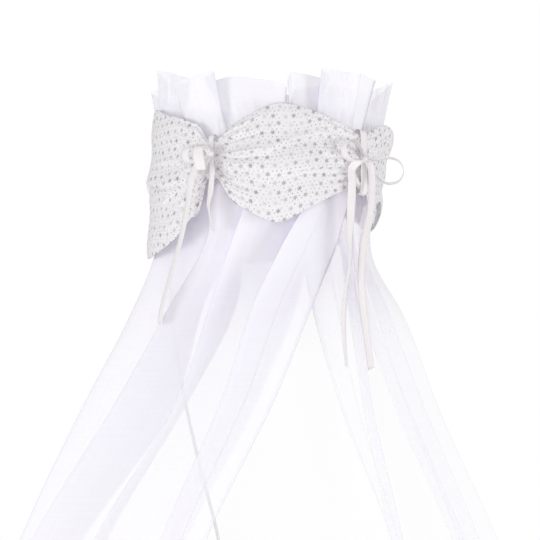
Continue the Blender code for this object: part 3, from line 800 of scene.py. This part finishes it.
# Lips of cloth that hang over a crease: start turn and share of the height, end turn and share, how far
# the lip stands out and the cloth under it goes back in mm, and how wide it is as a share
LIPS = (
    (-24, 0.56, 0, 0.60, 11.0, 0.060),
    (-2, 0.58, 26, 0.76, 9.5, 0.050),
    (-26, 0.24, -10, 0.30, 11.0, 0.045),
    (-24, 0.78, -12, 0.84, 6.0, 0.045),
    (-24, 0.42, -4, 0.42, 8.0, 0.045),
    (2, 0.40, 40, 0.34, 9.5, 0.050),
    (24, 0.52, 44, 0.46, 4.0, 0.040),
    (34, 0.14, 45, 0.34, 10.0, 0.060),
    (50, 0.62, 78, 0.66, 4.5, 0.050),
    (50, 0.40, 66, 0.28, 6.5, 0.050),
    (52, 0.22, 84, 0.30, 5.5, 0.060),
    (268, 0.52, 316, 0.40, 13.0, 0.070),
    (300, 0.34, 330, 0.52, 6.5, 0.050),
    (296, 0.64, 331, 0.58, 5.0, 0.050),
    (306, 0.80, 332, 0.72, 5.0, 0.045),
    (150, 0.55, 185, 0.62, 5.0, 0.055),
    (152, 0.30, 190, 0.24, 5.0, 0.055),
    (204, 0.48, 236, 0.52, 5.0, 0.055),
    (240, 0.52, 262, 0.60, 5.0, 0.055),
    (100, 0.50, 142, 0.52, 5.0, 0.055),
)


def tie_distance(turns):
    ties = np.array(TIE_TURNS + (TIE_TURNS[0] + 360,))
    away = turns[:, None] - ties[None, :]
    return away[np.arange(len(turns)), np.argmin(np.abs(away), axis=1)]


def band_edges(turns):
    """Rise, drop and the three outs at these turns, with level edges under each strap."""
    table = np.array(BAND_OUTLINE, float)
    away = tie_distance(turns)
    held = np.interp(np.abs(away), (0, TIE_FLAT, TIE_FLAT + TIE_EASE), (0, TIE_FLAT, 0))
    return smooth_through(table[:, 0], table[:, 1:] * MM, turns - np.sign(away) * held).T


def band_surface(turns, shares):
    rise, drop, top, middle, bottom = band_edges(turns)
    near = np.abs(tie_distance(turns))
    pinch = np.exp(-((near / PLEAT_REACH) ** 2))
    reach = np.exp(-((near / (2.2 * PLEAT_REACH)) ** 2))
    spread = 0.25 + 0.75 * (1 - np.exp(-((near / 5) ** 2)))
    rows = []
    for share in shares:
        across = smooth_through((0, 0.45, 1), np.stack([bottom, middle, top]), [share])[0]
        depth = CREASE_DEPTH + (PLEAT_DEPTH - CREASE_DEPTH) * pinch
        out = across + np.sin(2 * math.pi * PLEATS * share) * depth
        for count, phase, size in FINE_PLEATS:
            wave = np.sin(2 * math.pi * count * share + phase + 0.03 * turns)
            out = out + np.abs(wave) * size * MM * reach * spread
        for start, low, end, high, size, width in LIPS:
            run = (turns - start) / (end - start)
            line = low + (high - low) * np.clip(run, -0.3, 1.3)
            fade = np.clip(1.25 - np.abs(run - 0.5) * 1.9, 0, 1) * (1 - 0.7 * pinch)
            above = (share - line) / width
            step = 0.5 + 0.5 * np.tanh(above * 5)
            lip = step * np.exp(-np.abs(above) / 1.8) - (1 - step) * 0.8 * np.exp(-np.abs(above) / 1.1)
            out = out + size * MM * lip * fade
        plan = hoop_place(turns, out)
        rows.append(np.column_stack([plan, HOOP_HEIGHT - drop + (rise + drop) * share]))
    return np.array(rows)


def thick_piece(name, mesh, thickness, material, node):
    """Gives a sheet its thickness both ways and makes it the piece."""
    obj = bpy.data.objects.new(name, mesh)
    bpy.context.scene.collection.objects.link(obj)
    solid = obj.modifiers.new("Thickness", "SOLIDIFY")
    solid.thickness = thickness
    solid.offset = 0
    return as_piece(obj, name, material, node)


turns = TIE_TURNS[0] + 360 * np.arange(BAND_COLUMNS) / BAND_COLUMNS
shares = np.linspace(0, 1, BAND_LINES)
band = band_surface(turns, shares)[::-1]
loop = np.vstack([band[BAND_LINES // 2], band[BAND_LINES // 2][:1]])
girth = np.concatenate([[0], np.cumsum(np.linalg.norm(np.diff(loop, axis=0), axis=1))])
steps_down = np.linalg.norm(np.diff(band, axis=0), axis=2)
climb = np.concatenate([np.zeros((1, BAND_COLUMNS)), np.cumsum(steps_down, axis=0)])
climb = climb[BAND_LINES // 2] - climb
mesh = sheet_mesh("band_cloth", band, girth, climb, closed_round=True)
band_piece = thick_piece("band_cloth", mesh, COTTON_THICKNESS, cotton, "band")
print("band round the middle, m:", round(float(girth[-1]), 3))

# %% [markdown]
# ## Ribbon ties
#
# Each tie goes round the pinched band and ends in a bow: two loops, a knot and two loose tails. A ribbon
# is a flat strip, so each loop and tail is a short table of places for its middle line, with the swing of
# its width, and a strip is laid along it. The knot is a small rounded body with folds round it.

# %% Places of the ribbons
KNOT_OUT = 0.045
KNOT_SIZE = (0.0075, 0.0085, 0.0060)
STRAP_OUT = (-0.0195, -0.0035)
STRAP_CLEAR = 0.007
# Each ribbon's middle line from the knot's middle, in mm: to the right, up and forwards, then the swing
# of its width in degrees, 0 from side to side and 90 from back to front, and its width
LEFT_BOW = {
    "curled loop": (
        (0, 3, 0, 90, 9),
        (-12, 13, 6, 78, 14),
        (-30, 14, 9, 62, 20),
        (-44, 8, 10, 50, 20),
        (-47, -5, 9, 46, 20),
        (-40, -17, 7, 60, 20),
        (-22, -17, 3, 78, 16),
        (0, -4, 0, 90, 9),
    ),
    "hanging loop": (
        (-1, 1, 3, 0, 9),
        (-10, 9, 17, 0, 14),
        (-20, 7, 27, 0, 18),
        (-21, -9, 31, 0, 20),
        (-18, -26, 30, 0, 20),
        (-16, -36, 25, 0, 18),
        (-13, -27, 17, 0, 14),
        (-1, -5, 3, 0, 9),
    ),
    "left tail": (
        (0, 0, 0, 10, 9),
        (-16, -13, 12, 20, 14),
        (-28, -30, 12, 42, 18),
        (-35, -50, 10, 44, 19),
        (-38, -71, 8, 52, 19),
        (-41, -97, 6, 56, 19),
        (-46, -124, 4, 57, 19),
        (-54, -162, -1, 58, 19),
        (-66, -207, -6, 60, 19),
        (-87, -282, -18, 61, 19),
        (-92, -316, -23, 62, 19),
    ),
    "right tail": (
        (0, -1, 1, 30, 9),
        (2, -18, 5, 50, 15),
        (3, -34, 5, 56, 19),
        (2, -55, 5, 56, 19),
        (0, -78, 5, 57, 19),
        (-3, -96, 5, 66, 18),
        (-2, -110, 5, 78, 18),
        (1, -128, 5, 80, 18),
        (6, -148, 5, 84, 18),
    ),
}
RIGHT_BOW = {
    "left loop": (
        (0, 2, 1, 90, 9),
        (-9, 16, 15, 78, 14),
        (-22, 29, 29, 64, 20),
        (-37, 25, 39, 60, 20),
        (-43, 9, 42, 58, 20),
        (-36, -7, 38, 62, 20),
        (-21, -10, 22, 74, 16),
        (0, -4, 1, 90, 9),
    ),
    "right loop": (
        (0, 1, 0, 92, 9),
        (20, -3, 6, 94, 15),
        (33, -1, 8, 94, 20),
        (47, 0, 8, 94, 20),
        (63, -7, 8, 94, 20),
        (71, -25, 8, 94, 20),
        (63, -42, 8, 94, 20),
        (47, -48, 8, 94, 20),
        (35, -45, 7, 94, 20),
        (20, -32, 5, 93, 17),
        (2, -4, 0, 92, 9),
    ),
    "left tail": (
        (0, 0, 0, 0, 9),
        (-14, -9, 17, -24, 14),
        (-26, -24, 22, -34, 18),
        (-26, -50, 26, -36, 19),
        (-27, -79, 25, -34, 19),
        (-29, -115, 24, -40, 19),
        (-31, -151, 28, -54, 19),
        (-30, -194, 36, -72, 19),
        (-34, -228, 43, -75, 19),
        (-40, -262, 50, -69, 19),
        (-45, -322, 61, -62, 19),
        (-41, -403, 70, -74, 19),
    ),
    "right tail": (
        (0, -1, 0, 20, 9),
        (8, -12, 7, 36, 14),
        (11, -28, 8, 50, 19),
        (11, -65, 10, 50, 19),
        (8, -99, 13, 46, 19),
        (3, -126, 17, 39, 19),
        (-4, -158, 26, 36, 19),
        (-9, -194, 34, 41, 19),
        (-12, -240, 46, 48, 19),
        (-9, -296, 56, 51, 19),
        (-4, -342, 63, 54, 19),
        (3, -407, 68, 58, 19),
    ),
}
PLAIN_BOW = {
    "left loop": (
        (0, 2, 0, 90, 9),
        (-12, 13, 7, 86, 15),
        (-28, 15, 10, 80, 20),
        (-37, 0, 10, 78, 20),
        (-28, -15, 8, 80, 20),
        (-12, -12, 6, 86, 15),
        (0, -4, 0, 90, 9),
    ),
    "right loop": (
        (0, 1, 0, 92, 9),
        (12, 11, 7, 94, 15),
        (28, 12, 10, 100, 20),
        (36, -4, 10, 102, 20),
        (27, -19, 8, 100, 20),
        (11, -14, 6, 94, 15),
        (0, -3, 0, 88, 9),
    ),
    "left tail": (
        (0, 0, 0, 0, 9),
        (-12, -20, 9, 20, 16),
        (-17, -50, 11, 20, 20),
        (-19, -82, 13, 24, 20),
        (-20, -115, 16, 20, 20),
    ),
    "right tail": (
        (0, -1, 1, 0, 9),
        (11, -22, 9, -20, 16),
        (15, -50, 11, -20, 20),
        (17, -76, 13, -24, 20),
        (18, -102, 16, -20, 20),
    ),
}
# name, tie turn, knot height above the hoop in mm, strap width in mm, faces the viewer, its ribbons
BOWS = (
    ("tie_front_left", -27, 0, 10, True, LEFT_BOW),
    ("tie_front_right", 47, 0, 19, True, RIGHT_BOW),
    ("tie_back_right", 145, 0, 17, False, PLAIN_BOW),
    ("tie_back_left", 239, 0, 17, False, PLAIN_BOW),
)

# %% Ribbons
RIBBON_THICKNESS = 0.5 * MM
RIBBON_STEPS = 9
# The knot's grid, and its flat size in mm
KNOT_ROWS = 21
KNOT_COLUMNS = 40
KNOT_ROUND = 40
KNOT_UP = 20
ACROSS = np.linspace(-0.5, 0.5, 7)
RIBBON_CUP = 0.05


def strip_mesh(path, sides, widths, closed=False):
    """A strip along `path` with a slight cup across, and its flat coordinates."""
    along = np.roll(path, -1, axis=0) - np.roll(path, 1, axis=0) if closed else np.gradient(path, axis=0)
    along = along / np.linalg.norm(along, axis=1)[:, None]
    sides = sides - along * np.sum(sides * along, axis=1)[:, None]
    sides = sides / np.linalg.norm(sides, axis=1)[:, None]
    up = np.cross(sides, along)
    cup = (ACROSS**2 - 0.08) * RIBBON_CUP * 4
    offsets = sides[:, None] * ACROSS[None, :, None] + up[:, None] * cup[None, :, None]
    grid = path[:, None] + offsets * widths[:, None, None]
    run = np.vstack([path, path[:1]]) if closed else path
    length = np.concatenate([[0], np.cumsum(np.linalg.norm(np.diff(run, axis=0), axis=1))])
    grid = np.swapaxes(grid, 0, 1)
    mesh = sheet_mesh("strip", grid, length, ACROSS[:, None] * 20 * MM, closed_round=closed)
    return mesh, float(length[-1])


def bow_strip(rows, middle, right, up, out):
    table = np.array(rows, float)
    steps = (len(rows) - 1) * RIBBON_STEPS
    places = np.linspace(0, len(rows) - 1, steps + 1)
    across, high, forward, swing, width = smooth_through(np.arange(len(rows)), table, places).T
    offsets = np.outer(across, right) + np.outer(high, up) + np.outer(forward, out)
    angle = np.radians(swing)
    sides = np.outer(np.cos(angle), right) + np.outer(np.sin(angle), out)
    return strip_mesh(middle + offsets * MM, sides, width * MM)


def strap_strip(turn, width, middle, right, out):
    """The ribbon's turn round the pinched band, in the upright plane through the hoop's axis."""
    table = np.array(BAND_OUTLINE, float)
    rise, drop = smooth_through(table[:, 0], table[:, 1:3] * MM, [turn])[0]
    top = HOOP_HEIGHT + rise + STRAP_CLEAR - middle[2]
    low = HOOP_HEIGHT - drop - STRAP_CLEAR - middle[2]
    back, front = STRAP_OUT
    between = (back + front) / 2
    ring = np.array(
        (
            (front, low * 0.75),
            (front, low * 0.35),
            (front, top * 0.35),
            (front, top * 0.75),
            (front - 0.002, top - 0.002),
            (between, top + 0.001),
            (back + 0.002, top - 0.002),
            (back, top * 0.6),
            (back, low * 0.6),
            (back + 0.002, low + 0.002),
            (between, low - 0.001),
            (front - 0.002, low + 0.002),
        )
    )
    closed = np.vstack([ring, ring[:1]])
    places = np.linspace(0, len(ring), len(ring) * 5 + 1)[:-1]
    line = smooth_through(np.arange(len(closed)), closed, places)
    path = middle + np.outer(line[:, 0], out) + np.outer(line[:, 1], (0, 0, 1))
    return strip_mesh(path, np.tile(right, (len(path), 1)), np.full(len(path), width * MM), closed=True)


def knot_grid(middle, right, up, out):
    """A rounded knot with soft folds that run round it."""
    across, high, deep = KNOT_SIZE
    lift = np.linspace(-1, 1, KNOT_ROWS)[:, None] * math.pi / 2
    angle = np.linspace(0, 2 * math.pi, KNOT_COLUMNS + 1)[None, :-1]
    fold = 1 + 0.06 * np.sin(5 * lift + 1.2 * np.sin(angle))
    flat = np.cos(lift) * fold
    return (
        middle
        + (across * flat * np.cos(angle))[..., None] * right
        + (deep * flat * np.sin(angle))[..., None] * out
        + (high * np.sin(lift) * np.ones_like(angle))[..., None] * up
    )


def bow_piece(name, turn, knot_rise, strap_width, faces_viewer, ribbons):
    angle = math.radians(turn)
    radial = np.array((math.sin(angle), -math.cos(angle), 0))
    tangent = np.array((math.cos(angle), math.sin(angle), 0))
    up = np.array((0, 0, 1))
    spot = hoop_place(turn, KNOT_OUT)
    middle = np.array((spot[0], spot[1], HOOP_HEIGHT + knot_rise * MM))
    right, out = (np.array((1, 0, 0)), np.array((0, -1, 0))) if faces_viewer else (tangent, radial)
    strips = [strap_strip(turn, strap_width, middle, tangent, radial)]
    strips += [bow_strip(rows, middle, right, up, out) for rows in ribbons.values()]
    whole = bmesh.new()
    for mesh, _ in strips:
        whole.from_mesh(mesh)
    mesh = bpy.data.meshes.new(name)
    whole.to_mesh(mesh)
    whole.free()
    piece = thick_piece(f"{name}_ribbon", mesh, RIBBON_THICKNESS, ribbon, name)
    knot = knot_grid(middle, tangent, up, radial)
    knot_round = np.linspace(0, KNOT_ROUND * MM, KNOT_COLUMNS + 1)
    knot_up = np.linspace(0, KNOT_UP * MM, KNOT_ROWS)[:, None]
    knot_mesh = sheet_mesh("knot", knot, knot_round, knot_up, True)
    whole = bmesh.new()
    whole.from_mesh(knot_mesh)
    bmesh.ops.remove_doubles(whole, verts=whole.verts, dist=1e-5)
    bmesh.ops.recalc_face_normals(whole, faces=whole.faces)
    whole.from_mesh(piece.data)
    whole.to_mesh(piece.data)
    whole.free()
    piece.data.shade_smooth()
    return piece


for row in BOWS:
    bow_piece(*row)

# %% [markdown]
# ## Stitches
#
# The band's two edges and the drape's hems are held by rows of machine stitches. They repeat along a line,
# which is what Geometry Nodes are for: a curve is cut into even steps, a small thread is set at each point
# and turned to follow the line, and the copies are made real.

# %% A row of stitches
STITCH_GAP = 3.6 * MM
STITCH_LENGTH = 2.5 * MM
THREAD_WIDTH = 0.45 * MM
EDGE_GAP = 0.035

thread, tree, shader = new_finish("cotton sewing thread", "e6e6e8", 0.8)
place = add_node(tree, "ShaderNodeTexCoord")
fuzz = add_node(tree, "ShaderNodeTexNoise", {"Vector": place.outputs["Object"], "Scale": 1 / (1.5 * MM)})
bump = add_node(
    tree, "ShaderNodeBump", {"Height": fuzz.outputs["Fac"], "Strength": 0.3, "Distance": 0.1 * MM}
)
tree.links.new(bump.outputs["Normal"], shader.inputs["Normal"])


def stitch_tree():
    group = bpy.data.node_groups.new("Row of stitches", "GeometryNodeTree")
    sockets = group.interface
    sockets.new_socket("Geometry", in_out="INPUT", socket_type="NodeSocketGeometry")
    for label in ("Gap", "Length", "Width"):
        sockets.new_socket(label, in_out="INPUT", socket_type="NodeSocketFloat")
    sockets.new_socket("Thread", in_out="INPUT", socket_type="NodeSocketMaterial")
    sockets.new_socket("Geometry", in_out="OUTPUT", socket_type="NodeSocketGeometry")
    start = add_node(group, "NodeGroupInput")
    steps = add_node(
        group,
        "GeometryNodeCurveToPoints",
        {"Curve": start.outputs["Geometry"], "Length": start.outputs["Gap"]},
        mode="LENGTH",
    )
    one = add_node(
        group,
        "GeometryNodeMeshCylinder",
        {"Vertices": 6, "Radius": 0.5, "Depth": 1.0},
        fill_type="TRIANGLE_FAN",
    )
    size = add_node(
        group,
        "ShaderNodeCombineXYZ",
        {"X": start.outputs["Width"], "Y": start.outputs["Width"], "Z": start.outputs["Length"]},
    )
    copies = add_node(
        group,
        "GeometryNodeInstanceOnPoints",
        {
            "Points": steps.outputs["Points"],
            "Instance": one.outputs["Mesh"],
            "Rotation": steps.outputs["Rotation"],
            "Scale": size.outputs[0],
        },
    )
    real = add_node(group, "GeometryNodeRealizeInstances", {"Geometry": copies.outputs["Instances"]})
    dressed = add_node(
        group,
        "GeometryNodeSetMaterial",
        {"Geometry": real.outputs["Geometry"], "Material": start.outputs["Thread"]},
    )
    add_node(group, "NodeGroupOutput", {"Geometry": dressed.outputs["Geometry"]})
    return group


STITCHES = stitch_tree()


def stitch_row(name, lines):
    """Rows of stitches along these lines of points; the last value says whether a line is closed."""
    curve = bpy.data.curves.new(name, "CURVE")
    curve.dimensions = "3D"
    for points, cyclic in lines:
        spline = curve.splines.new("POLY")
        spline.points.add(len(points) - 1)
        for point, spot in zip(spline.points, points):
            point.co = (*spot, 1)
        spline.use_cyclic_u = cyclic
    obj = bpy.data.objects.new(name, curve)
    bpy.context.scene.collection.objects.link(obj)
    rows = obj.modifiers.new("Stitches", "NODES")
    rows.node_group = STITCHES
    values = {"Gap": STITCH_GAP, "Length": STITCH_LENGTH, "Width": THREAD_WIDTH, "Thread": thread}
    for item in STITCHES.interface.items_tree:
        if item.in_out == "INPUT" and item.name in values:
            rows[item.identifier] = values[item.name]
    return as_piece(obj, name, thread, None)


out = COTTON_THICKNESS / 2 + 0.1 * MM
edges = band_surface(turns, np.array((EDGE_GAP, 0.5, 1 - EDGE_GAP)))
outward = -grid_normals(band_surface(turns, np.array((0.0, EDGE_GAP, 2 * EDGE_GAP))))[1]
lower = edges[0] + outward * out
outward = -grid_normals(band_surface(turns, np.array((1 - 2 * EDGE_GAP, 1 - EDGE_GAP, 1.0))))[1]
upper = edges[2] + outward * out
stitch_row("band_stitches", [(lower, True), (upper, True)])
# The stitches stand this many columns and rows in from the drape's edges, and this far off it in mm
STITCH_COLUMN = 9
STITCH_ROW = 5
STITCH_LIFT = 0.3
hem = len(HEM_WIDTH)
lifted = drape + grid_normals(drape) * STITCH_LIFT * MM
side_lines = []
for column in (hem + STITCH_COLUMN, -hem - STITCH_COLUMN - 1):
    side_lines.append((lifted[:-2, column], False))
bottom_line = lifted[-STITCH_ROW, hem:-hem]
stitch_row("hem_stitches", side_lines + [(bottom_line, False)])

# %% [markdown]
# ## Floor, light and camera
#
# The canopy is shown on plain white, in soft light from all round. Three wide lamps stand low in front, on
# the left and on the right, so that folds turn just a shade darker. The sky gives the camera a clean white
# and lights the cloth a little less. White cloth passes light on many times between its folds, so the
# light may bounce more often than usual. The camera stands low in front and looks up at the top of the
# canopy.

# %% Surroundings
FLOOR_SIZE = 12
SKY_LIGHT = 0.585
LAMPS = (
    # name, place, aim, size in metres, watts
    ("front", (-0.2, -4.3, 0.7), (0, -0.2, 1.2), 1.8, 30),
    ("left", (-2.7, -2.2, 0.7), (0, -0.1, 1.25), 1.2, 30),
    ("right", (2.9, -1.5, 0.9), (0, -0.1, 1.25), 1.2, 27),
)
# How often light may pass through a see-through layer, and bounce off cloth
LAYERS_PASSED = 32
CLOTH_BOUNCES = 12

bpy.ops.mesh.primitive_plane_add(size=FLOOR_SIZE, location=(0, 0, -0.5 * MM))
floor = bpy.context.object
floor.name = "floor"
pale, _, _ = new_finish("pale floor", "f4f4f4", 0.9)
floor.data.materials.append(pale)
floor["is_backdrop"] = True

world = bpy.data.worlds.new("plain white")
bpy.context.scene.world = world
world.use_nodes = True
tree = world.node_tree
sky = tree.nodes["Background"]
sky.inputs["Color"].default_value = (1, 1, 1, 1)
seen = add_node(tree, "ShaderNodeLightPath")
strength = add_node(
    tree, "ShaderNodeMapRange", {"Value": seen.outputs["Is Camera Ray"], "To Min": SKY_LIGHT, "To Max": 1.0}
)
tree.links.new(strength.outputs["Result"], sky.inputs["Strength"])


def area_light(name, spot, aim, size, power):
    light = bpy.data.lights.new(name, "AREA")
    light.size = size
    light.energy = power
    obj = bpy.data.objects.new(name, light)
    obj.location = spot
    obj.rotation_euler = (Vector(aim) - Vector(spot)).to_track_quat("-Z", "Y").to_euler()
    bpy.context.scene.collection.objects.link(obj)


for lamp in LAMPS:
    area_light(*lamp)

CAMERA_PLACE = (0, -3.645, 0.592)
CAMERA_TILT = 10.71
FOCAL_PIXELS = 1869
PICTURE = 540
camera = bpy.data.cameras.new("camera")
camera.sensor_width = 36
camera.lens = 36 * FOCAL_PIXELS / PICTURE
eye = bpy.data.objects.new("camera", camera)
eye.location = CAMERA_PLACE
eye.rotation_euler = (math.radians(90 + CAMERA_TILT), 0, 0)
bpy.context.scene.collection.objects.link(eye)
scene = bpy.context.scene
scene.camera = eye
scene.view_settings.view_transform = "Standard"
scene.cycles.transparent_max_bounces = LAYERS_PASSED
scene.cycles.diffuse_bounces = CLOTH_BOUNCES

# %% Sizes, and the end
seen_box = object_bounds()
for label, box in (("solids", cad_box), ("visible", seen_box)):
    print(label, [round(float(v), 3) for corner in box for v in corner])
